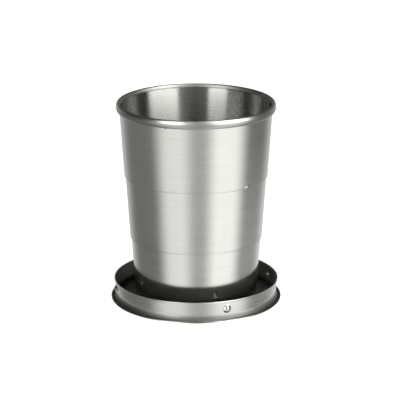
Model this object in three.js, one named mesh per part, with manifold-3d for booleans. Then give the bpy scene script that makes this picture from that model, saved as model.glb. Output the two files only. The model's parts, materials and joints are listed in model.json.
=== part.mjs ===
// A collapsible travel cup: three nesting conical sleeves of thin stainless steel that stand in a
// shallow round dish. The two upper sleeves slide down over the lowest one until all three sit
// inside the dish.
//
// Millimetres and degrees, +Z up. The origin is the centre of the foot's underside, on the axis
// that every piece shares. The cup is drawn fully extended.
import * as THREE from "three";
import { mergeVertices } from "three/addons/utils/BufferGeometryUtils.js";
import Module from "manifold-3d";

// ---- Driving dimensions: sleeves ----
const rimRadius = 33.0; // outside of the rim's curl
const upperRingHeight = 31.0; // with its curl
const middleRingHeight = 29.6;
const lowerCupHeight = 29.3; // with its floor
const ringLap = 3.2; // height over which a sleeve holds the next one down
const taper = 0.066; // radius that a wall gains per mm of height
const sheet = 0.4; // thickness of the sleeves' walls
const ringFit = 0.1; // radial clearance between two sleeves where they lap
const curlWidth = 1.7; // of the rim's rolled edge, across
const curlHeight = 3.5; // of the rim's rolled edge
const curlTurn = 300; // angle that the rolled edge turns through, over the top from the wall
const cupCorner = 1.2; // outside radius between the lower cup's wall and floor

// ---- Driving dimensions: dish ----
const dishSheet = 0.35; // thickness of the collar and of the base plate
const dishRoom = 3.7; // between the collapsed rim sleeve and the inside of the collar's brim
const brimHeight = 8.85; // of the collar's brim above the table
const brimFlare = 0.15; // outward turn of the brim
const flareHeight = 0.65; // height over which the brim turns out
const collarDraft = 0.55; // radius that the collar's wall loses from the brim down to its fillet
const footFillet = 1.35; // width of the concave curve from the collar's wall to its flange
const footRise = 2.6; // height of that curve
const flangeGrip = 0.3; // width of flange that the base plate's hem holds
const seamGap = 0.03; // between two sheets that are pressed or welded together
const panelRise = 0.5; // height of the stamped panel in the middle of the base plate
const panelStep = 0.8; // width of the slope around that panel
const panelMargin = 2.4; // from the panel's slope out to the lower cup's wall

// ---- Driving dimensions: detent bumps of the collar ----
const bumpRadius = 1.8; // of a bump's round outline
const bumpRise = 1.05; // how far a bump stands out of the wall
const bumpHeight = 5.3; // of a bump's centre above the table
const bumpBearings = [22, 113, 200, 281]; // from the front (-Y), turning towards +X

// ---- Facets ----
const sides = 64; // of every turned piece
const curlSteps = 10;
const cornerSteps = 4;
const filletSteps = 6;
const hemSteps = 6;
const bumpFacets = [20, 12];

// ---- Heights and radii worked out from them ----
const cupFloor = panelRise + dishSheet + seamGap;
const lowerTop = cupFloor + lowerCupHeight;
const middleBottom = lowerTop - ringLap;
const middleTop = middleBottom + middleRingHeight;
const upperBottom = middleTop - ringLap;
const rimTop = upperBottom + upperRingHeight;
const curlZ = rimTop - curlHeight / 2;
const curlR = rimRadius - curlWidth / 2;
const wallAtCurl = rimRadius - curlWidth + sheet;
const nestStep = sheet + ringFit;

// Outside radius at height z of sleeve number `nest`, counted inwards from the rim sleeve at 0.
const sleeveRadius = (nest, z) => wallAtCurl - nest * nestStep - taper * (curlZ - z);

const hemHeight = 3 * dishSheet + 2 * seamGap;
const hemRound = hemHeight / 2;
const flangeBottom = dishSheet + seamGap;
const flangeTop = flangeBottom + dishSheet;
const filletTop = flangeTop + footRise;
const collapsedRing = sleeveRadius(0, upperBottom + brimHeight - flangeBottom);
const brimRadius = collapsedRing + dishRoom + dishSheet;
const brimFoot = brimHeight - flareHeight;
const wallTopRadius = brimRadius - brimFlare;
const wallFootRadius = wallTopRadius - collarDraft;
const filletR = wallFootRadius + footFillet;
const flangeRadius = filletR + flangeGrip - seamGap;
const lipRadius = filletR - seamGap;
const footRadius = flangeRadius - seamGap + hemRound;

// Outside radius of the collar's wall at height z.
const collarRadius = (z) =>
  wallFootRadius + (collarDraft * (z - filletTop)) / (brimFoot - filletTop);

const wasm = await Module();
wasm.setup();

// Points of an oval arc about (r, z), from one angle to another, both in degrees.
function arc(r, z, halfWidth, halfHeight, from, to, steps) {
  return Array.from({ length: steps + 1 }, (_, i) => {
    const a = THREE.MathUtils.degToRad(from + ((to - from) * i) / steps);
    return [r + halfWidth * Math.cos(a), z + halfHeight * Math.sin(a)];
  });
}

// A solid turned about Z from [radius, height] points.
function turned(points) {
  const profile = points.map(([r, z]) => new THREE.Vector2(r, z));
  return new THREE.LatheGeometry(profile, sides).rotateX(Math.PI / 2);
}

// The same list of points, ending where it began.
const closed = (points) => [...points, points[0]];

// A three.js geometry as a manifold-3d solid, and back.
function toSolid(geometry) {
  const bare = geometry.clone();
  bare.deleteAttribute("normal");
  bare.deleteAttribute("uv");
  const merged = mergeVertices(bare);
  return new wasm.Manifold(
    new wasm.Mesh({
      numProp: 3,
      vertProperties: merged.attributes.position.array,
      triVerts: new Uint32Array(merged.index.array),
    }),
  );
}

function toGeometry(solid) {
  const mesh = solid.getMesh();
  const geometry = new THREE.BufferGeometry();
  geometry.setAttribute("position", new THREE.BufferAttribute(mesh.vertProperties, 3));
  geometry.setIndex(new THREE.BufferAttribute(mesh.triVerts, 1));
  geometry.computeVertexNormals();
  return geometry;
}

// The rim sleeve: a conical wall whose top edge is rolled outwards and down into a hollow curl.
function upperRing() {
  const end = 180 - curlTurn;
  const skin = (inset, from, to) =>
    arc(curlR, curlZ, curlWidth / 2 - inset, curlHeight / 2 - inset, from, to, curlSteps);
  const bottom = sleeveRadius(0, upperBottom);
  return turned(
    closed([
      ...skin(sheet, 180, end),
      ...skin(0, end, 180),
      [bottom - sheet, upperBottom],
      [bottom, upperBottom],
    ]),
  );
}

// The middle sleeve: a plain conical wall, open at both ends.
function middleRing() {
  const bottom = sleeveRadius(1, middleBottom);
  const top = sleeveRadius(1, middleTop);
  return turned(
    closed([
      [bottom, middleBottom],
      [top, middleTop],
      [top - sheet, middleTop],
      [bottom - sheet, middleBottom],
    ]),
  );
}

// The lowest sleeve, drawn in one piece with its floor.
function lowerCup() {
  const lean = THREE.MathUtils.radToDeg(Math.atan(taper));
  const cornerZ = cupFloor + cupCorner;
  const cornerR = sleeveRadius(2, cornerZ) - cupCorner;
  const innerCorner = cupCorner - sheet;
  const top = sleeveRadius(2, lowerTop);
  return turned([
    [0, cupFloor],
    ...arc(cornerR, cornerZ, cupCorner, cupCorner, -90, -lean, cornerSteps),
    [top, lowerTop],
    [top - sheet, lowerTop],
    ...arc(cornerR, cornerZ, innerCorner, innerCorner, -lean, -90, cornerSteps),
    [0, cupFloor + sheet],
  ]);
}

// The dish's wall: a turned-out brim, a drafted wall with bumps pressed outwards, and a concave
// fillet down to a flat flange.
function baseCollar() {
  const fillet = (inset, from, to) =>
    arc(filletR, filletTop, footFillet + inset, footRise + inset, from, to, filletSteps);
  const wall = turned(
    closed([
      [flangeRadius, flangeBottom],
      [flangeRadius, flangeTop],
      ...fillet(0, 270, 180),
      [wallTopRadius, brimFoot],
      [brimRadius, brimHeight],
      [brimRadius - dishSheet, brimHeight],
      [wallTopRadius - dishSheet, brimFoot],
      ...fillet(dishSheet, 180, 270),
    ]),
  );

  // Everything inside the wall's middle surface, which trims each bump's back off.
  const middle = (z) => collarRadius(z) - dishSheet / 2;
  const core = toSolid(
    turned([
      [0, filletTop],
      [middle(filletTop), filletTop],
      [middle(brimHeight), brimHeight],
      [0, brimHeight],
    ]),
  );
  const ballRadius = (bumpRadius ** 2 + bumpRise ** 2) / (2 * bumpRise);
  const ballR = collarRadius(bumpHeight) + bumpRise - ballRadius;

  return toGeometry(
    bumpBearings.reduce((solid, bearing) => {
      const turn = THREE.MathUtils.degToRad(bearing - 90);
      const ball = (radius) =>
        toSolid(
          new THREE.SphereGeometry(radius, ...bumpFacets).translate(
            ballR * Math.cos(turn),
            ballR * Math.sin(turn),
            bumpHeight,
          ),
        );
      const dome = ball(ballRadius).subtract(core);
      return solid.add(dome).subtract(ball(ballRadius - dishSheet));
    }, toSolid(wall)),
  );
}

// The foot: a disc with a raised panel under the cup's floor, whose edge is folded back over the
// collar's flange.
function basePlate() {
  const hemR = footRadius - hemRound;
  const hemInner = hemRound - dishSheet;
  const panelEdge = sleeveRadius(2, cupFloor) - panelMargin - panelStep;
  return turned([
    [0, panelRise],
    [panelEdge, panelRise],
    [panelEdge + panelStep, 0],
    ...arc(hemR, hemRound, hemRound, hemRound, -90, 90, hemSteps),
    [lipRadius, hemHeight],
    [lipRadius, hemHeight - dishSheet],
    ...arc(hemR, hemRound, hemInner, hemInner, 90, -90, hemSteps),
    [panelEdge + panelStep, dishSheet],
    [panelEdge, panelRise + dishSheet],
    [0, panelRise + dishSheet],
  ]);
}

const steel = (color, roughness) =>
  new THREE.MeshStandardMaterial({ color, roughness, metalness: 1 });

function piece(name, geometry, material) {
  const mesh = new THREE.Mesh(geometry, material);
  mesh.name = name;
  return mesh;
}

const cup = new THREE.Group();
cup.add(piece("upper_ring", upperRing(), steel(0xc4c3be, 0.3)));
cup.add(piece("middle_ring", middleRing(), steel(0xc0bfba, 0.32)));
cup.add(piece("lower_cup", lowerCup(), steel(0xbcbbb6, 0.32)));
cup.add(piece("base_collar", baseCollar(), steel(0xc6c5c0, 0.26)));
cup.add(piece("base_plate", basePlate(), steel(0xbdbcb8, 0.34)));

export default cup;
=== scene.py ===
"""Looks of a collapsible travel cup: three sheet-steel sleeves and a pressed dish, around a CAD frame.

Every piece is one sheet of steel turned about the cup's axis, so every piece is worked out the same
way: a midline in (radius, height), the outline of a sheet of even thickness along it, and that
outline swept round Z.
"""

import json
import math

import bpy
import numpy as np
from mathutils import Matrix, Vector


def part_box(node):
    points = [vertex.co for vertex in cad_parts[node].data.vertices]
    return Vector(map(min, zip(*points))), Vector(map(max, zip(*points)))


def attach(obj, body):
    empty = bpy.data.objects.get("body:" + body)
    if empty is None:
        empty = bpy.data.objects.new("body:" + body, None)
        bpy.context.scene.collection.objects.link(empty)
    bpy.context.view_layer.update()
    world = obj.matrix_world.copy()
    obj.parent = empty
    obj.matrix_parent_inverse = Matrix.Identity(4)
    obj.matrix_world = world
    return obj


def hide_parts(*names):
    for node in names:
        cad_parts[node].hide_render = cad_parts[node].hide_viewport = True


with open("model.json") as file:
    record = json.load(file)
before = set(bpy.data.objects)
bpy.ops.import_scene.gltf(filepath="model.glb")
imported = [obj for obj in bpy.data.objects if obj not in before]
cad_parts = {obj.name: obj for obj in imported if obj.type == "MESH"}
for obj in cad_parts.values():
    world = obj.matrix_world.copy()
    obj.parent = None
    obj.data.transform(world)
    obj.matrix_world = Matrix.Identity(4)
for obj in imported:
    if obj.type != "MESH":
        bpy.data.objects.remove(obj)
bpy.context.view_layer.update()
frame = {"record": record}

bl_info = {
    "name": "Collapsible travel cup",
    "version": (1, 0, 0),
    "blender": (4, 5, 0),
    "location": "View3D > Sidebar > Travel cup",
    "description": "Builds a telescopic steel travel cup and its studio around a CAD frame",
    "category": "Object",
}

MM = 0.001


def top_of(node):
    """Height of a CAD node's top, in metres."""
    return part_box(node)[1].z


def bottom_of(node):
    """Height of a CAD node's underside, in metres."""
    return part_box(node)[0].z


def radius_of(node):
    """Largest radius of a CAD node, in metres."""
    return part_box(node)[1].x


# ---------------------------------------------------------------------------------------------
# Sizes and finishes
# ---------------------------------------------------------------------------------------------


def length(name, description, default):
    """A size in metres."""
    return bpy.props.FloatProperty(
        name=name, description=description, default=default, unit="LENGTH", precision=5, min=0.0
    )


def bearing(name, description, degrees):
    """A direction round the cup, from the front (-Y) towards +X."""
    return bpy.props.FloatProperty(
        name=name, description=description, default=math.radians(degrees), subtype="ANGLE"
    )


def share(name, description, default, top=1.0):
    """A number from nought to top."""
    return bpy.props.FloatProperty(
        name=name, description=description, default=default, min=0.0, max=top
    )


def colour(name, description, default):
    """A linear colour."""
    return bpy.props.FloatVectorProperty(
        name=name, description=description, default=default, subtype="COLOR", size=3, min=0.0, max=1.0
    )


class TravelCupSleeves(bpy.types.PropertyGroup):
    """Sizes of the three sleeves."""

    sheet: length("Sheet", "Thickness of the sleeves' walls", 0.4 * MM)
    taper: share("Taper", "Radius that a wall gains for each unit of height", 0.066)
    curl_width: length("Curl width", "Width of the rim's rolled edge", 1.7 * MM)
    curl_height: length("Curl height", "Height of the rim's rolled edge", 3.5 * MM)
    curl_turn: bearing("Curl turn", "Angle that the rolled edge turns through", 300)
    corner: length("Corner", "Outside radius between the lower cup's wall and floor", 1.2 * MM)
    burr_height: length("Burr height", "How far the burr on the rim sleeve's edge stands out", 0.22 * MM)
    burr_width: length("Burr width", "Half the burr's width, round the sleeve", 0.95 * MM)
    burr_length: length("Burr length", "Half the burr's length, up the sleeve", 0.45 * MM)
    burr_lift: length("Burr lift", "How far above the sleeve's edge the burr is", 0.35 * MM)
    burr_bearing: bearing("Burr bearing", "Where the burr is", 44.5)
    speck_width: length("Speck width", "Half the width of the dark speck under the rim's curl", 0.5 * MM)
    speck_length: length("Speck length", "Half the length of that speck", 0.4 * MM)
    speck_drop: length("Speck drop", "How far below the curl that speck is", 0.1 * MM)
    speck_bearing: bearing("Speck bearing", "Where that speck is", -22.5)


class TravelCupDish(bpy.types.PropertyGroup):
    """Sizes of the dish."""

    sheet: length("Sheet", "Thickness of the collar and of the base plate", 0.35 * MM)
    seam_gap: length("Seam gap", "Gap between two sheets that are pressed together", 0.03 * MM)
    brim_radius: length("Brim radius", "Outside radius of the collar's brim", 34.3785 * MM)
    brim_flare: length("Brim flare", "Outward turn of the brim", 0.15 * MM)
    flare_height: length("Flare height", "Height over which the brim turns out", 0.65 * MM)
    draft: length("Draft", "Radius that the collar's wall loses towards its fillet", 0.55 * MM)
    fillet: length("Fillet", "Width of the concave curve from the collar's wall to its flange", 1.35 * MM)
    fillet_rise: length("Fillet rise", "Height of that curve", 2.6 * MM)
    panel_rise: length("Panel rise", "Height of the stamped panel in the base plate", 0.5 * MM)
    panel_radius: length("Panel radius", "Radius of the stamped panel", 22.1 * MM)
    panel_step: length("Panel step", "Width of the slope around the stamped panel", 0.8 * MM)
    bump_radius: length("Bump radius", "Radius of a detent bump's outline", 1.8 * MM)
    bump_rise: length("Bump rise", "How far a detent bump stands out of the wall", 1.05 * MM)
    bump_height: length("Bump height", "Height of a detent bump's centre", 5.3 * MM)
    bump_bearings: bpy.props.FloatVectorProperty(
        name="Bump bearings",
        description="Where the detent bumps are, from the front towards +X",
        default=[math.radians(a) for a in (22, 113, 200, 281)],
        subtype="EULER",
        size=4,
    )


class TravelCupSteel(bpy.types.PropertyGroup):
    """Finish of the steel."""

    light: colour("Light", "Steel on the bright side of its grain", (0.64, 0.637, 0.612))
    dark: colour("Dark", "Steel on the dark side of its grain", (0.58, 0.576, 0.552))
    # Painted shade: the same steel is made darker on the rim sleeve's inside, the polished rim, the dish,
    # the dish's inside and the lower sleeves' insides, for the light and shade that fall there.
    inside_shade: share("Inside shade", "Lightness of the rim sleeve's inside", 0.67, 2.0)
    rim_shade: share("Rim shade", "Lightness of the polished rim", 0.6, 2.0)
    dish_shade: share("Dish shade", "Lightness of the dish's outside", 0.93, 2.0)
    trench_shade: share("Trench shade", "Lightness of the dull inside of the dish", 0.5, 2.0)
    deep_shade: share("Deep shade", "Lightness of the two lower sleeves' insides", 0.6, 2.0)
    outside: share("Outside roughness", "Roughness of the sleeves' outsides", 0.18)
    inside: share("Inside roughness", "Roughness of the sleeves' insides", 0.28)
    rim: share("Rim roughness", "Roughness of the polished rim", 0.3)
    dish: share("Dish roughness", "Roughness of the dish's outside", 0.25)
    trench: share("Trench roughness", "Roughness of the dish's inside", 0.4)
    plate: share("Plate roughness", "Roughness of the base plate", 0.33)
    grain_width: length("Grain width", "Spacing of the brushing's lines", 0.3 * MM)
    grain_length: length("Grain length", "Length of the brushing's lines", 14 * MM)


class TravelCupStudio(bpy.types.PropertyGroup):
    """Light, floor and camera."""

    floor: colour("Floor", "Colour of the floor", (0.82, 0.82, 0.82))
    floor_glow: share("Floor glow", "How far the floor is lifted to a seamless white", 0.86, 2.0)
    foot_glow: share("Foot glow", "Brightness of the floor close round the foot", 1.5, 5.0)
    side_glow: share("Side glow", "Brightness of the floor on the right of the cup", 0.2, 5.0)
    room: share("Room", "Brightness of the room above the table", 0.06, 5.0)
    table: share("Table", "Brightness of the light that comes off the table's sides", 0.22, 5.0)
    flag: share("Flag", "Share of the softboxes' light that the flag lets down to the foot", 0.45)
    target: bpy.props.FloatVectorProperty(
        name="Target", description="What the camera looks at", default=(1.66 * MM, 0, 42.13 * MM), size=3
    )
    distance: length("Distance", "From the camera to its target", 834 * MM)
    pitch: bearing("Pitch", "How far the camera looks down", 16.8)
    lens: bpy.props.FloatProperty(name="Lens", description="Focal length, mm", default=180.0)


GROUPS = {
    "cup_sleeves": TravelCupSleeves,
    "cup_dish": TravelCupDish,
    "cup_steel": TravelCupSteel,
    "cup_studio": TravelCupStudio,
}


# ---------------------------------------------------------------------------------------------
# Surfaces
# ---------------------------------------------------------------------------------------------


def line(start, end, steps):
    """Points from start to end: start + (end - start) u, where u = (1 - cos(pi k / steps)) / 2, so
    that the points crowd towards both ends."""
    u = (1 - np.cos(np.pi * np.arange(steps + 1) / steps)) / 2
    return np.array(start) + np.outer(u, np.subtract(end, start))


def oval(centre, half_width, half_height, start, end, steps):
    """Points of an ellipse: centre + (half_width cos a, half_height sin a), for even angles a from
    start to end, in degrees."""
    a = np.radians(np.linspace(start, end, steps + 1))
    return np.array(centre) + np.stack([half_width * np.cos(a), half_height * np.sin(a)], axis=1)


def joined(*pieces):
    """The pieces of a midline end to end, without the point that two pieces share."""
    points = np.vstack(pieces)
    apart = np.linalg.norm(np.diff(points, axis=0), axis=1) > 1e-7
    return points[np.concatenate([[True], apart])]


def sheet_outline(midline, thickness, cap_steps=8):
    """Outline of a sheet that follows a midline m(s).

    The two skins are m(s) + h n(s) and m(s) - h n(s), where h is half the thickness and n the
    normal on the right of the direction of travel. A half circle of radius h about each cut end
    joins them; a midline that starts on the axis has no cut there. Returns the points, anti-
    clockwise in (radius, height), with three numbers for each: s, the side (1 or -1, and 0 on a
    cut end) and the nearness to a cut end.
    """
    half = thickness / 2
    s = np.concatenate([[0], np.cumsum(np.linalg.norm(np.diff(midline, axis=0), axis=1))])
    along = np.gradient(midline, s, axis=0)
    along /= np.linalg.norm(along, axis=1)[:, None]
    across = np.stack([along[:, 1], -along[:, 0]], axis=1)
    a = np.linspace(0, np.pi, cap_steps + 2)[1:-1, None]
    end_cap = midline[-1] + half * (np.cos(a) * across[-1] + np.sin(a) * along[-1])
    start_cap = midline[0] - half * (np.cos(a) * across[0] + np.sin(a) * along[0])
    on_axis = midline[0, 0] < 1e-9
    points = [midline + half * across, end_cap, (midline - half * across)[::-1]]
    runs = [s, np.full(cap_steps, s[-1]), s[::-1]]
    sides = [np.ones(len(s)), np.zeros(cap_steps), -np.ones(len(s))]
    if not on_axis:
        points.append(start_cap)
        runs.append(np.full(cap_steps, s[0]))
        sides.append(np.zeros(cap_steps))
    run = np.concatenate(runs)
    to_cut = s[-1] - run if on_axis else np.minimum(run, s[-1] - run)
    return np.vstack(points), run, np.concatenate(sides), np.exp(-to_cut / (1.5 * thickness))


def even_bearings(count, close_to=(), reach=math.radians(4.5), extra=44):
    """Bearings round the axis: count even ones, and extra ones within reach of each given one."""
    even = np.arange(count) * 2 * np.pi / count
    fine = [np.mod(b + np.linspace(-reach, reach, extra), 2 * np.pi) for b in close_to]
    return np.unique(np.round(np.concatenate([even, *fine]), 6))


def swept(name, outline, bearings, finishes, finish_of, bulge=None, dull=None):
    """A mesh object: an outline (r, z) swept round Z.

    A point is ((r + d) sin b, -(r + d) cos b, z) for each bearing b, where d is bulge(b, r, z). An
    outline that starts and ends on the axis has one point there for all bearings. finish_of(side,
    run, z) numbers each outline point's finish, and a face takes its lower point's. dull(b, r, z)
    gives each point's dullness, from 0 to 1, and how much painted shade darkens it there.
    """
    points, run, side, near_cut = outline
    r, z = points[:, 0], points[:, 1]
    b = bearings[:, None]
    radius = r + (bulge(b, r, z) if bulge else 0 * b)
    place = np.stack([radius * np.sin(b), -radius * np.cos(b), z + 0 * b], axis=2)
    turns, count = len(bearings), len(points)
    on_axis = r[0] < 1e-9

    i, j = np.meshgrid(np.arange(turns), np.arange(count - on_axis), indexing="ij")
    after, up = (i + 1) % turns, (j + 1) % count
    corner = np.stack([i * count + j, after * count + j, after * count + up, i * count + up], axis=2)
    faces = corner.reshape(-1, 4)
    kept = np.arange(turns * count)
    if on_axis:
        kept = np.where(kept % count == 0, 0, np.where(kept % count == count - 1, count - 1, kept))
    numbers = np.unique(kept, return_inverse=True)[1].reshape(-1)
    faces = numbers[faces]
    first = np.unique(kept)

    quad = (faces[:, 0] != faces[:, 1]) & (faces[:, 2] != faces[:, 3])
    foot = faces[faces[:, 0] == faces[:, 1]][:, [0, 2, 3]]
    head = faces[faces[:, 2] == faces[:, 3]][:, [0, 1, 2]]
    of_point = finish_of(side, run, z).astype(int)
    of_face = of_point[j.reshape(-1)]
    order = [quad, faces[:, 0] == faces[:, 1], faces[:, 2] == faces[:, 3]]

    mesh = bpy.data.meshes.new(name)
    corners = faces[quad].tolist() + foot.tolist() + head.tolist()
    mesh.from_pydata(place.reshape(-1, 3)[first].tolist(), [], corners)
    for finish in finishes:
        mesh.materials.append(finish)
    mesh.polygons.foreach_set("material_index", np.concatenate([of_face[o] for o in order]))
    mesh.polygons.foreach_set("use_smooth", np.ones(len(mesh.polygons), bool))
    for label, values in (("lay", run - np.minimum(side, 0)), ("cut", near_cut)):
        layer = mesh.attributes.new(label, "FLOAT", "POINT")
        layer.data.foreach_set("value", np.tile(values, turns)[first].astype(np.float32))
    values = np.broadcast_to(dull(b, r, z) if dull else 0.0, (turns, count)).reshape(-1)
    layer = mesh.attributes.new("dull", "FLOAT", "POINT")
    layer.data.foreach_set("value", values[first].astype(np.float32))
    mesh.update()
    mesh.validate()
    piece = bpy.data.objects.new(name, mesh)
    bpy.context.scene.collection.objects.link(piece)
    return piece


def settle(piece, node):
    """Puts a piece in the place of its CAD node, on that node's body."""
    bodies = frame["record"]["behaviour"]["bodies"]
    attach(piece, next(body for body, nodes in bodies.items() if node in nodes))
    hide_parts(node)


# ---------------------------------------------------------------------------------------------
# Finishes
# ---------------------------------------------------------------------------------------------


class Nodes:
    """Short ways to add and link shader nodes in one tree."""

    def __init__(self, tree):
        self.tree = tree

    def add(self, kind, settings=None, **inputs):
        """A node of a kind, with its settings, and its inputs set or linked by name."""
        node = self.tree.nodes.new(kind)
        for key, value in (settings or {}).items():
            setattr(node, key, value)
        for key, value in inputs.items():
            self.put(node, key.replace("_", " "), value)
        return node

    def put(self, node, name, value):
        """Sets or links one input, by its name or number."""
        socket = node.inputs[int(name) if name.isdigit() else name]
        if isinstance(value, bpy.types.NodeSocket):
            self.tree.links.new(value, socket)
        else:
            socket.default_value = value

    def math(self, operation, *values):
        """The result of a Math node."""
        node = self.tree.nodes.new("ShaderNodeMath")
        node.operation = operation
        for number, value in enumerate(values):
            self.put(node, str(number), value)
        return node.outputs[0]

    def bearing_of(self, x, y):
        """The bearing of (x, y) from the front (-Y) towards +X, in degrees."""
        return self.math("DEGREES", self.math("ARCTAN2", x, self.math("MULTIPLY", y, -1.0)))

    def ease(self, value, low, high, start=0.0, end=1.0):
        """start below low and end above high, eased between them."""
        node = self.add("ShaderNodeMapRange", {"interpolation_type": "SMOOTHSTEP"}, Value=value)
        for name, number in (("From Min", low), ("From Max", high), ("To Min", start), ("To Max", end)):
            self.put(node, name, number)
        return node.outputs["Result"]


# The grain: how much wider and longer its broad streaks are than its fine ones, the fine ones'
# share, and how far the two spread the tone and the roughness.
BROAD_WIDER = 9
BROAD_LONGER = 2.5
FINE_SHARE = 0.65
TONE_SPREAD = 2.2
GRAIN_ROUGHNESS = 0.1

# Handling marks: how many to a metre, and how far they spread the roughness.
MARKS = 70.0
MARK_ROUGHNESS = 0.1

# How much cut edges darken, which is painted shade for the shadow in the gaps between sleeves,
# how much dulled places darken, which is painted shade on the rim's crown and the dish's foot and
# a real dark speck under the curl, and how much rougher a dulled place is. The colour they darken
# towards stands for that painted shade and the speck.
CUT_EDGE_SHADE = 0.1
SHADE_AND_SPECK_DARK = 0.72
DULL_ROUGHNESS = 0.2
SHADE_AND_SPECK_COLOUR = (0.05, 0.048, 0.045, 1)


def steel(name, steel_look, painted_shade, roughness, spread, turn, grain, relief):
    """A brushed or polished steel whose grain runs round the cup.

    The grain is noise read at (x / l, y / l, lay / w), where lay is the distance along the sheet,
    l the grain's length and w its width, so it is stretched round the axis and meets itself. A
    slow noise stands for handling marks. The metal darkens towards its cut edges, painted shade for
    the shadow in the gaps between sleeves, and at dulled places, which are also rougher: there the
    darkening is painted shade on the rim's crown and the dish's foot, and a real dark speck.
    """
    material = bpy.data.materials.new(name)
    material.use_nodes = True
    nodes = Nodes(material.node_tree)
    shader = material.node_tree.nodes["Principled BSDF"]

    place = nodes.add("ShaderNodeTexCoord").outputs["Object"]
    lay = nodes.add("ShaderNodeAttribute", {"attribute_name": "lay"}).outputs["Fac"]
    cut = nodes.add("ShaderNodeAttribute", {"attribute_name": "cut"}).outputs["Fac"]
    dull = nodes.add("ShaderNodeAttribute", {"attribute_name": "dull"}).outputs["Fac"]

    def grain_noise(across, along, detail):
        """Noise with a spacing of across up the sheet and along round the cup."""
        flat = nodes.add("ShaderNodeMapping", Vector=place, Scale=(1 / along, 1 / along, 0))
        height = nodes.add("ShaderNodeCombineXYZ", Z=nodes.math("DIVIDE", lay, across))
        spot = nodes.add("ShaderNodeVectorMath", {"operation": "ADD"})
        nodes.put(spot, "0", flat.outputs[0])
        nodes.put(spot, "1", height.outputs[0])
        noise = nodes.add("ShaderNodeTexNoise", Vector=spot.outputs[0], Scale=1.0, Detail=detail)
        return noise.outputs["Fac"]

    width, reach = steel_look.grain_width, steel_look.grain_length
    fine = grain_noise(width, reach, 3.0)
    broad = grain_noise(width * BROAD_WIDER, reach * BROAD_LONGER, 2.0)
    marks = nodes.add("ShaderNodeTexNoise", Vector=place, Scale=MARKS, Detail=4.0).outputs["Fac"]

    # Contrast is spread about the middle, then kept in range by the colour mix.
    rest = nodes.math("MULTIPLY", broad, 1 - FINE_SHARE)
    blend = nodes.math("MULTIPLY_ADD", fine, FINE_SHARE, rest)
    tone = nodes.math("MULTIPLY_ADD", blend, TONE_SPREAD * grain, (1 - TONE_SPREAD * grain) / 2)
    mix = nodes.add("ShaderNodeMix", {"data_type": "RGBA", "clamp_factor": True})
    nodes.put(mix, "0", tone)
    # Both tones are scaled by this copy's painted shade.
    nodes.put(mix, "6", (*(painted_shade * np.array(steel_look.dark)), 1))
    nodes.put(mix, "7", (*(painted_shade * np.array(steel_look.light)), 1))
    # Painted shade: darker towards cut edges (shadow in the gaps between sleeves) and at dulled places (the
    # rim's crown and the dish's foot), plus a real speck.
    edge = nodes.add("ShaderNodeMix", {"data_type": "RGBA"})
    nodes.put(edge, "0", nodes.math("MULTIPLY_ADD", cut, CUT_EDGE_SHADE, nodes.math("MULTIPLY", dull, SHADE_AND_SPECK_DARK)))
    nodes.put(edge, "6", mix.outputs[2])
    nodes.put(edge, "7", SHADE_AND_SPECK_COLOUR)
    nodes.put(shader, "Base Color", edge.outputs[2])

    middle = roughness - (MARK_ROUGHNESS + GRAIN_ROUGHNESS * grain) / 2
    wear = nodes.math("MULTIPLY_ADD", marks, MARK_ROUGHNESS, middle)
    rough = nodes.math("MULTIPLY_ADD", blend, GRAIN_ROUGHNESS * grain, wear)
    nodes.put(shader, "Roughness", nodes.math("MULTIPLY_ADD", dull, DULL_ROUGHNESS, rough))
    shader.inputs["Metallic"].default_value = 1.0
    shader.inputs["Anisotropic"].default_value = spread
    shader.inputs["Anisotropic Rotation"].default_value = turn
    tangent = nodes.add("ShaderNodeTangent", {"direction_type": "RADIAL", "axis": "Z"})
    nodes.put(shader, "Tangent", tangent.outputs[0])

    bump = nodes.add("ShaderNodeBump", Height=fine, Strength=relief * 0.1, Distance=0.1 * MM)
    nodes.put(shader, "Normal", bump.outputs[0])
    return material


def finish(kind):
    """The finish of that name, made once."""
    name = "steel_" + kind
    if name in bpy.data.materials:
        return bpy.data.materials[name]
    look = bpy.context.scene.cup_steel
    # Painted shade (how much lighter or darker this copy of the steel is), roughness, how much it spreads
    # light one way, that way's turn, grain and relief.
    recipes = {
        "outside": (1.0, look.outside, 0.6, 0.0, 1.0, 0.3),
        "inside": (look.inside_shade, look.inside, 1.0, 0.25, 0.4, 0.03),
        "rim": (look.rim_shade, look.rim, 0.0, 0.0, 0.4, 0.1),
        "dish_outside": (look.dish_shade, look.dish, 0.3, 0.0, 0.9, 0.3),
        "deep_inside": (look.deep_shade, look.inside, 1.0, 0.25, 1.0, 0.3),
        "dish_inside": (look.trench_shade, look.trench, 0.0, 0.0, 0.5, 0.1),
        "plate": (look.dish_shade, look.plate, 0.7, 0.25, 1.0, 0.4),
    }
    return steel(name, look, *recipes[kind])


# ---------------------------------------------------------------------------------------------
# Pieces
# ---------------------------------------------------------------------------------------------

# Where the polished rim's crown starts to grow duller and darker, how wide that fade is, and how
# far it goes; the darker inner half of the crown is painted shade.
CROWN_START = 0.1 * MM
CROWN_WIDTH = 0.5 * MM
CROWN_DULL_AND_SHADE = 0.55

# How dull and how darkened by painted shade the collar is on its fillet and, on top of that, up
# its whole wall, darker towards the bottom, and where the fillet's dullness and painted shade fade
# out, as shares of the height of the fillet's top.
FOOT_DULL_AND_SHADE = 0.9
WALL_DULL_AND_SHADE = 0.1
FOOT_FADE = (0.6, 1.1)


def cone_radius(node, z):
    """Outside radius at height z of a plain sleeve, whose wall gains `taper` for each unit of
    height up to the sleeve's widest point at its top."""
    return radius_of(node) - bpy.context.scene.cup_sleeves.taper * (top_of(node) - z)


def dent(b, z, at_bearing, at_height, radius, width, height):
    """exp(-(u^2 + v^2)), where u is the distance round the wall from a spot over width, and v the
    height above it over height."""
    turn = np.mod(b - at_bearing + np.pi, 2 * np.pi) - np.pi
    return np.exp(-((turn * radius / width) ** 2) - ((z - at_height) / height) ** 2)


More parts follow.
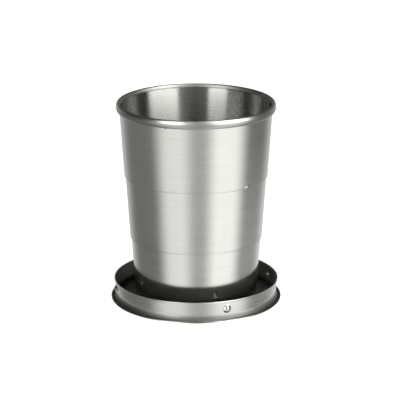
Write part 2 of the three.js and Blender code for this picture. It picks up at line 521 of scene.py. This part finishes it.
class TRAVELCUP_OT_rim_sleeve(bpy.types.Operator):
    """Build the rim sleeve: a cone whose top is rolled outwards into a hollow curl"""

    bl_idname = "travelcup.rim_sleeve"
    bl_label = "Rim sleeve"

    def execute(self, context):
        """Midline: a straight cone, then an oval that starts where its slope meets the cone's."""
        size = context.scene.cup_sleeves
        node = "upper_ring"
        half = size.sheet / 2
        wide, tall = size.curl_width / 2 - half, size.curl_height / 2 - half
        curl = (radius_of(node) - size.curl_width / 2, top_of(node) - size.curl_height / 2)
        lean = math.degrees(math.atan(size.taper * tall / wide))
        end = 180 - math.degrees(size.curl_turn)
        roll = oval(curl, wide, tall, 180 - lean, end, 72)
        low = bottom_of(node) + half
        wall = line((roll[0, 0] - size.taper * (roll[0, 1] - low), low), roll[0], 40)
        midline = joined(wall, roll)

        edge = radius_of(node) - size.curl_width + size.sheet - size.taper * (curl[1] - low)

        def bulge(b, r, z):
            """The burr's height times its dent."""
            height = low + size.burr_lift
            return size.burr_height * dent(
                b, z, size.burr_bearing, height, edge, size.burr_width, size.burr_length
            )

        def finish_of(side, run, z):
            """Rim on the curl's outer skin, inside and outside on the cone."""
            rolled = run > np.linalg.norm(wall[-1] - wall[0])
            return np.where(rolled & (side <= 0), 2, np.where(side < 0, 1, 0))

        def dull(b, r, z):
            """The larger of a real dark speck under the curl and CROWN_DULL_AND_SHADE (3 v^2 - 2 v^3) over
            the curl's inner half, with v from 0 to 1 inwards across its crown; that second term is painted
            shade as well as dullness."""
            height = top_of(node) - size.curl_height - size.speck_drop
            speck = dent(
                b, z, size.speck_bearing, height, curl[0], size.speck_width, size.speck_length
            )
            v = np.clip((curl[0] + CROWN_START - r) / CROWN_WIDTH, 0, 1) * (z > curl[1])
            return np.maximum(speck, CROWN_DULL_AND_SHADE * v * v * (3 - 2 * v))

        spots = (size.burr_bearing, size.speck_bearing)
        bearings = even_bearings(512, spots, math.radians(3), 24)
        finishes = [finish(kind) for kind in ("outside", "inside", "rim")]
        outline = sheet_outline(midline, size.sheet)
        piece = swept("rim_sleeve", outline, bearings, finishes, finish_of, bulge, dull)
        settle(piece, node)
        return {"FINISHED"}


class TRAVELCUP_OT_middle_sleeve(bpy.types.Operator):
    """Build the middle sleeve: a plain cone, open at both ends"""

    bl_idname = "travelcup.middle_sleeve"
    bl_label = "Middle sleeve"

    def execute(self, context):
        """Midline: one straight cone."""
        size = context.scene.cup_sleeves
        node = "middle_ring"
        half = size.sheet / 2
        low, high = bottom_of(node) + half, top_of(node) - half
        ends = [(cone_radius(node, z) - half, z) for z in (low, high)]
        outline = sheet_outline(line(*ends, 48), size.sheet)
        finishes = [finish(kind) for kind in ("outside", "deep_inside")]
        piece = swept(
            "middle_sleeve", outline, even_bearings(512), finishes, lambda side, run, z: side < 0
        )
        settle(piece, node)
        return {"FINISHED"}


class TRAVELCUP_OT_lower_cup(bpy.types.Operator):
    """Build the lower cup: the smallest sleeve, drawn in one piece with its floor"""

    bl_idname = "travelcup.lower_cup"
    bl_label = "Lower cup"

    def execute(self, context):
        """Midline: the floor from the axis out, a round corner and a straight cone."""
        size = context.scene.cup_sleeves
        node = "lower_cup"
        half = size.sheet / 2
        lean = math.degrees(math.atan(size.taper))
        floor = bottom_of(node)
        corner_z = floor + size.corner
        corner_r = cone_radius(node, corner_z) - size.corner
        bend = oval((corner_r, corner_z), size.corner - half, size.corner - half, -90, -lean, 16)
        high = top_of(node) - half
        midline = joined(
            line((0, floor + half), bend[0], 36),
            bend,
            line(bend[-1], (cone_radius(node, high) - half, high), 48),
        )
        outline = sheet_outline(midline, size.sheet)
        finishes = [finish(kind) for kind in ("outside", "deep_inside")]
        piece = swept(
            "lower_cup_shell", outline, even_bearings(512), finishes, lambda side, run, z: side < 0
        )
        settle(piece, node)
        return {"FINISHED"}


def collar_wall(size):
    """The collar's heights and radii, in metres: the fillet's centre, the top of its straight wall
    and its outside radius there, and the top of the brim."""
    wall_top = size.brim_radius - size.brim_flare
    foot = wall_top - size.draft
    fillet_z = 2 * size.sheet + size.seam_gap + size.fillet_rise
    brim = top_of("base_collar")
    return (foot + size.fillet, fillet_z), (wall_top, brim - size.flare_height), brim


class TRAVELCUP_OT_base_collar(bpy.types.Operator):
    """Build the dish's wall, with its brim, detent bumps, fillet and flange"""

    bl_idname = "travelcup.base_collar"
    bl_label = "Base collar"

    def execute(self, context):
        """Midline: a flat flange, a quarter of an upright oval, a drafted wall and a brim that turns
        out as 1 - cos over its height."""
        size = context.scene.cup_dish
        node = "base_collar"
        half = size.sheet / 2
        centre, (wall_r, wall_z), brim = collar_wall(size)
        bend = oval(centre, size.fillet + half, size.fillet_rise + half, 270, 180, 40)
        flange = line((radius_of(node) - half, bend[0, 1]), bend[0], 8)
        foot_r = bend[-1, 0]
        wall = line(bend[-1], (wall_r - half, wall_z), 64)
        u = np.linspace(0, 1, 17)
        slope = (wall_r - half - foot_r) / (wall_z - bend[-1, 1])
        rise = brim - half - wall_z
        lift = wall_r - half + slope * rise * u
        turn_out = (size.brim_flare - slope * rise) * (1 - np.cos(np.pi * u / 2))
        flare = np.stack([lift + turn_out, wall_z + rise * u], axis=1)
        midline = joined(flange, bend, wall, flare)

        def bulge(b, r, z):
            """rise (1 - q^2)^1.3 inside the outline q < 1, where q is the distance on the wall from
            the bump's centre over the outline's radius."""
            on_wall = (z > centre[1]) & (z < wall_z + size.flare_height / 2)
            total = 0 * b * r
            for at in size.bump_bearings:
                turn = np.mod(b - at + np.pi, 2 * np.pi) - np.pi
                q2 = (turn * wall_r) ** 2 + (z - size.bump_height) ** 2
                total = total + np.clip(1 - q2 / size.bump_radius**2, 0, None) ** 1.3
            return size.bump_rise * total * on_wall

        def dull(b, r, z):
            """FOOT_DULL_AND_SHADE (1 - 3 v^2 + 2 v^3) with v from 0 to 1 over FOOT_FADE, and
            WALL_DULL_AND_SHADE times the same with v from 0 to 1 up the whole wall. Both darken the collar
            as painted shade, strongest at the foot, as well as making it duller."""
            near = np.clip((z / centre[1] - FOOT_FADE[0]) / (FOOT_FADE[1] - FOOT_FADE[0]), 0, 1)
            whole = np.clip(z / wall_z, 0, 1)
            at_foot = FOOT_DULL_AND_SHADE * (1 - near * near * (3 - 2 * near))
            on_wall = WALL_DULL_AND_SHADE * (1 - whole * whole * (3 - 2 * whole))
            return 0 * b + at_foot + on_wall

        finishes = [finish(kind) for kind in ("dish_outside", "dish_inside")]
        bearings = even_bearings(384, size.bump_bearings)
        outline = sheet_outline(midline, size.sheet)
        piece = swept(
            "base_collar_shell", outline, bearings, finishes, lambda side, run, z: side < 0, bulge, dull
        )
        settle(piece, node)
        return {"FINISHED"}


class TRAVELCUP_OT_base_plate(bpy.types.Operator):
    """Build the foot: a disc with a raised panel, its edge folded back over the collar's flange"""

    bl_idname = "travelcup.base_plate"
    bl_label = "Base plate"

    def execute(self, context):
        """Midline: the raised panel, an eased step down (half a cosine), a flat ring, a half-round
        hem and a short lip back over the flange."""
        size = context.scene.cup_dish
        node = "base_plate"
        half = size.sheet / 2
        hem = (top_of(node) - bottom_of(node)) / 2
        hem_r = radius_of(node) - hem
        (fillet_r, _), _, _ = collar_wall(size)
        u = np.linspace(0, 1, 17)
        step = np.stack(
            [
                size.panel_radius + size.panel_step * u,
                half + size.panel_rise * (1 + np.cos(np.pi * u)) / 2,
            ],
            axis=1,
        )
        fold = oval((hem_r, hem), hem - half, hem - half, -90, 90, 24)
        lip_end = (fillet_r - size.seam_gap + half, 2 * hem - half)
        midline = joined(
            line((0, size.panel_rise + half), step[0], 32),
            step,
            line(step[-1], fold[0], 28),
            fold,
            line(fold[-1], lip_end, 3),
        )
        outline = sheet_outline(midline, size.sheet)
        finishes = [finish(kind) for kind in ("plate", "dish_inside", "dish_outside")]

        def finish_of(side, run, z):
            """The collar's finish on the hem, its lip and the flat just before it."""
            hemmed = run > run.max() - np.pi * hem - 1 * MM
            return np.where(side < 0, 1, np.where(hemmed, 2, 0))

        piece = swept("base_plate_shell", outline, even_bearings(512), finishes, finish_of)
        settle(piece, node)
        return {"FINISHED"}


# ---------------------------------------------------------------------------------------------
# Studio
# ---------------------------------------------------------------------------------------------

# Each light card: the side it stands on, its half width and the softness of its edges, in degrees
# of bearing from the front towards +X, and its brightness.
TABLE_CARDS = (
    ("right", 51, 27, 15, 1.22),
    ("left", -36, 24, 15, 0.95),
    ("front", 7, 22, 22, 0.32),
    ("behind", 180, 38, 22, 0.5),
)
RIGHT_SOFTBOX = (("right", 53, 24.5, 1.0, 6.6),)
OTHER_SOFTBOXES = (
    ("left", -34.5, 15, 1.0, 6.6),
    ("front", 8, 22, 8, 0.5),
)
BACKDROP = (("backdrop", 180, 55, 20, 0.5),)

# Elevations, in degrees: where the room's light takes over from the table's, where the backdrop
# fades in and out, and where the softboxes fade, with what is left of them above that.
HORIZON = (-8, 2)
BACKDROP_REACH = ((-8, -3), (9, 14))
OTHER_TOP = (14, 40, 1.0, 0.5)
SOFTBOX_TOPS = ((48, 66, 0.5), (72, 90, 0.1))

# Glows on the floor: distances from the axis over which the one round the foot fades in and out
# and the one on the right fades out, and that one's bearing and how far it fades to its sides.
FOOT_GLOW_IN = (34.6 * MM, 35.4 * MM)
FOOT_GLOW_OUT = (36.3 * MM, 37.6 * MM)
SIDE_GLOW_OUT = (80 * MM, 250 * MM)
SIDE_GLOW_BEARING = 105.0
SIDE_GLOW_EDGES = (20, 65)

# The flag: its hole and its reach, as radii, its height above the brim, and its sides.
FLAG_HOLE = 36.4 * MM
FLAG_REACH = 600 * MM
FLAG_LIFT = 0.6 * MM
FLAG_SIDES = 96


def studio_world(studio):
    """Light from all round: above the horizon a dim room with tall softboxes, below it the soft
    sheen that they leave on the table, and plain white for the camera."""
    world = bpy.data.worlds.new("studio")
    world.use_nodes = True
    nodes = Nodes(world.node_tree)
    back = world.node_tree.nodes["Background"]
    way = nodes.add("ShaderNodeTexCoord").outputs["Generated"]
    x, y, z = nodes.add("ShaderNodeSeparateXYZ", Vector=way).outputs
    around = nodes.bearing_of(x, y)
    above = nodes.math("DEGREES", nodes.math("ARCSINE", z))

    def lit(cards, base=0.0):
        """The cards' brightness by bearing, on top of a base."""
        total = base
        for _, centre, half, soft, brightness in cards:
            off = nodes.math("WRAP", nodes.math("SUBTRACT", around, centre), 180, -180)
            card = nodes.ease(nodes.math("ABSOLUTE", off), half - soft, half + soft, brightness, 0.0)
            total = nodes.math("ADD", total, card)
        return total

    others = lit(OTHER_SOFTBOXES)
    room = nodes.math("MULTIPLY_ADD", others, nodes.ease(above, *OTHER_TOP), lit(RIGHT_SOFTBOX))
    for low, high, left in SOFTBOX_TOPS:
        room = nodes.math("MULTIPLY", room, nodes.ease(above, low, high, 1.0, left))
    room = nodes.math("ADD", room, studio.room)
    strip = nodes.math("SUBTRACT", *(nodes.ease(above, *ends) for ends in BACKDROP_REACH))
    room = nodes.math("MULTIPLY_ADD", lit(BACKDROP), strip, room)
    table = lit(TABLE_CARDS, studio.table)
    share_above = nodes.ease(above, *HORIZON)
    mixed = nodes.add("ShaderNodeMix")
    nodes.put(mixed, "0", share_above)
    nodes.put(mixed, "2", table)
    nodes.put(mixed, "3", room)
    seen = nodes.add("ShaderNodeLightPath").outputs["Is Camera Ray"]
    shown = nodes.add("ShaderNodeMix")
    nodes.put(shown, "0", seen)
    nodes.put(shown, "2", mixed.outputs[0])
    nodes.put(shown, "3", 1.0)
    nodes.put(back, "Strength", shown.outputs[0])
    back.inputs["Color"].default_value = (1.0, 1.0, 0.985, 1)
    return world


def studio_floor(studio):
    """A plain pale floor at the foot's height. From above, the camera sees it white. Other rays
    pass it to the world's table light, and pick up two soft glows on the way: one close round the
    foot, and one that fades out on the right."""
    reach = 4.0
    mesh = bpy.data.meshes.new("floor")
    sides = [(-reach, -reach, 0), (reach, -reach, 0), (reach, reach, 0), (-reach, reach, 0)]
    mesh.from_pydata(sides, [], [(0, 1, 2, 3)])
    material = bpy.data.materials.new("pale_floor")
    material.use_nodes = True
    nodes = Nodes(material.node_tree)
    pale = material.node_tree.nodes["Principled BSDF"]
    pale.inputs["Base Color"].default_value = (*studio.floor, 1)
    pale.inputs["Roughness"].default_value = 0.9
    pale.inputs["Emission Color"].default_value = (1, 1, 1, 1)
    pale.inputs["Emission Strength"].default_value = studio.floor_glow
    place = nodes.add("ShaderNodeTexCoord").outputs["Object"]
    x, y, _ = nodes.add("ShaderNodeSeparateXYZ", Vector=place).outputs
    away = nodes.math("SQRT", nodes.math("MULTIPLY_ADD", x, x, nodes.math("MULTIPLY", y, y)))
    side = nodes.math("ABSOLUTE", nodes.math("SUBTRACT", nodes.bearing_of(x, y), SIDE_GLOW_BEARING))
    foot = nodes.math(
        "MULTIPLY", nodes.ease(away, *FOOT_GLOW_IN), nodes.ease(away, *FOOT_GLOW_OUT, 1.0, 0.0)
    )
    near = nodes.math(
        "MULTIPLY",
        nodes.ease(away, *SIDE_GLOW_OUT, 1.0, 0.0),
        nodes.ease(side, *SIDE_GLOW_EDGES, 1.0, 0.0),
    )
    near = nodes.math("MULTIPLY", near, studio.side_glow)
    glow = nodes.math("MULTIPLY_ADD", foot, studio.foot_glow, near)
    from_above = nodes.math("SUBTRACT", 1.0, nodes.add("ShaderNodeNewGeometry").outputs["Backfacing"])
    light = nodes.add("ShaderNodeEmission", Strength=nodes.math("MULTIPLY", glow, from_above))
    through = nodes.add("ShaderNodeAddShader")
    nodes.put(through, "0", nodes.add("ShaderNodeBsdfTransparent").outputs[0])
    nodes.put(through, "1", light.outputs[0])
    choice = nodes.add("ShaderNodeMixShader")
    seen = nodes.add("ShaderNodeLightPath").outputs["Is Camera Ray"]
    nodes.put(choice, "0", nodes.math("MULTIPLY", seen, from_above))
    nodes.put(choice, "1", through.outputs[0])
    nodes.put(choice, "2", pale.outputs[0])
    nodes.put(material.node_tree.nodes["Material Output"], "0", choice.outputs[0])
    mesh.materials.append(material)
    floor = bpy.data.objects.new("floor", mesh)
    bpy.context.scene.collection.objects.link(floor)
    floor.location.z = bottom_of("base_plate") - 0.02 * MM
    return floor


def studio_flag(studio):
    """A flat ring that nobody sees, a little above the dish, that holds back the softboxes' light
    from the foot: rays that come up through it are dimmed, all others pass."""
    i = np.arange(FLAG_SIDES)
    after = (i + 1) % FLAG_SIDES
    turns = i * 2 * np.pi / FLAG_SIDES
    ring = np.stack([np.sin(turns), np.cos(turns), 0 * turns], axis=1)
    height = np.array((0, 0, top_of("base_collar") + FLAG_LIFT))
    place = np.vstack([FLAG_HOLE * ring, FLAG_REACH * ring]) + height
    faces = np.stack([i, after, after + FLAG_SIDES, i + FLAG_SIDES], axis=1)
    mesh = bpy.data.meshes.new("flag")
    mesh.from_pydata(place.tolist(), [], faces.tolist())
    material = bpy.data.materials.new("flag")
    material.use_nodes = True
    nodes = Nodes(material.node_tree)
    from_below = nodes.add("ShaderNodeNewGeometry").outputs["Backfacing"]
    seen = nodes.add("ShaderNodeLightPath").outputs["Is Camera Ray"]
    mix = nodes.add("ShaderNodeMix", {"data_type": "RGBA"})
    nodes.put(mix, "0", nodes.math("MULTIPLY", from_below, nodes.math("SUBTRACT", 1.0, seen)))
    nodes.put(mix, "6", (1, 1, 1, 1))
    nodes.put(mix, "7", (studio.flag, studio.flag, studio.flag, 1))
    through = nodes.add("ShaderNodeBsdfTransparent", Color=mix.outputs[2])
    nodes.put(material.node_tree.nodes["Material Output"], "0", through.outputs[0])
    mesh.materials.append(material)
    flag = bpy.data.objects.new("flag", mesh)
    bpy.context.scene.collection.objects.link(flag)
    return flag


def studio_camera(studio):
    """A long lens that looks down on the cup from the front."""
    data = bpy.data.cameras.new("camera")
    data.lens = studio.lens
    data.sensor_width = 36.0
    data.clip_start = 10 * MM
    camera = bpy.data.objects.new("camera", data)
    pitch = studio.pitch
    away = np.array((0, -math.cos(pitch), math.sin(pitch)))
    camera.location = np.array(studio.target) + studio.distance * away
    camera.rotation_euler = (math.pi / 2 - pitch, 0, 0)
    bpy.context.scene.collection.objects.link(camera)
    return camera


class TRAVELCUP_OT_stage(bpy.types.Operator):
    """Build the floor, the studio light and the camera"""

    bl_idname = "travelcup.stage"
    bl_label = "Stage"

    def execute(self, context):
        """Sets the scene's world, camera and plain view transform."""
        studio = context.scene.cup_studio
        studio_floor(studio)
        studio_flag(studio)
        context.scene.world = studio_world(studio)
        context.scene.camera = studio_camera(studio)
        context.scene.view_settings.view_transform = "Standard"
        return {"FINISHED"}


class TRAVELCUP_PT_panel(bpy.types.Panel):
    """The cup's builders and sizes"""

    bl_idname = "TRAVELCUP_PT_panel"
    bl_label = "Travel cup"
    bl_space_type = "VIEW_3D"
    bl_region_type = "UI"
    bl_category = "Travel cup"

    def draw(self, context):
        """Lists the operators, then every size and finish."""
        for operator in OPERATORS:
            self.layout.operator(operator.bl_idname)
        for name, group in GROUPS.items():
            box = self.layout.box()
            for key in group.__annotations__:
                box.prop(getattr(context.scene, name), key)


OPERATORS = (
    TRAVELCUP_OT_stage,
    TRAVELCUP_OT_base_plate,
    TRAVELCUP_OT_base_collar,
    TRAVELCUP_OT_lower_cup,
    TRAVELCUP_OT_middle_sleeve,
    TRAVELCUP_OT_rim_sleeve,
)


def register():
    """Registers the sizes, the operators and the panel."""
    for name, group in GROUPS.items():
        bpy.utils.register_class(group)
        setattr(bpy.types.Scene, name, bpy.props.PointerProperty(type=group))
    for operator in OPERATORS:
        bpy.utils.register_class(operator)
    bpy.utils.register_class(TRAVELCUP_PT_panel)


def unregister():
    """Removes what register adds."""
    bpy.utils.unregister_class(TRAVELCUP_PT_panel)
    for operator in reversed(OPERATORS):
        bpy.utils.unregister_class(operator)
    for name, group in GROUPS.items():
        delattr(bpy.types.Scene, name)
        bpy.utils.unregister_class(group)


def main():
    """Builds the stage and every piece."""
    register()
    for operator in OPERATORS:
        family, name = operator.bl_idname.split(".")
        getattr(getattr(bpy.ops, family), name)()


if __name__ == "__main__":
    main()
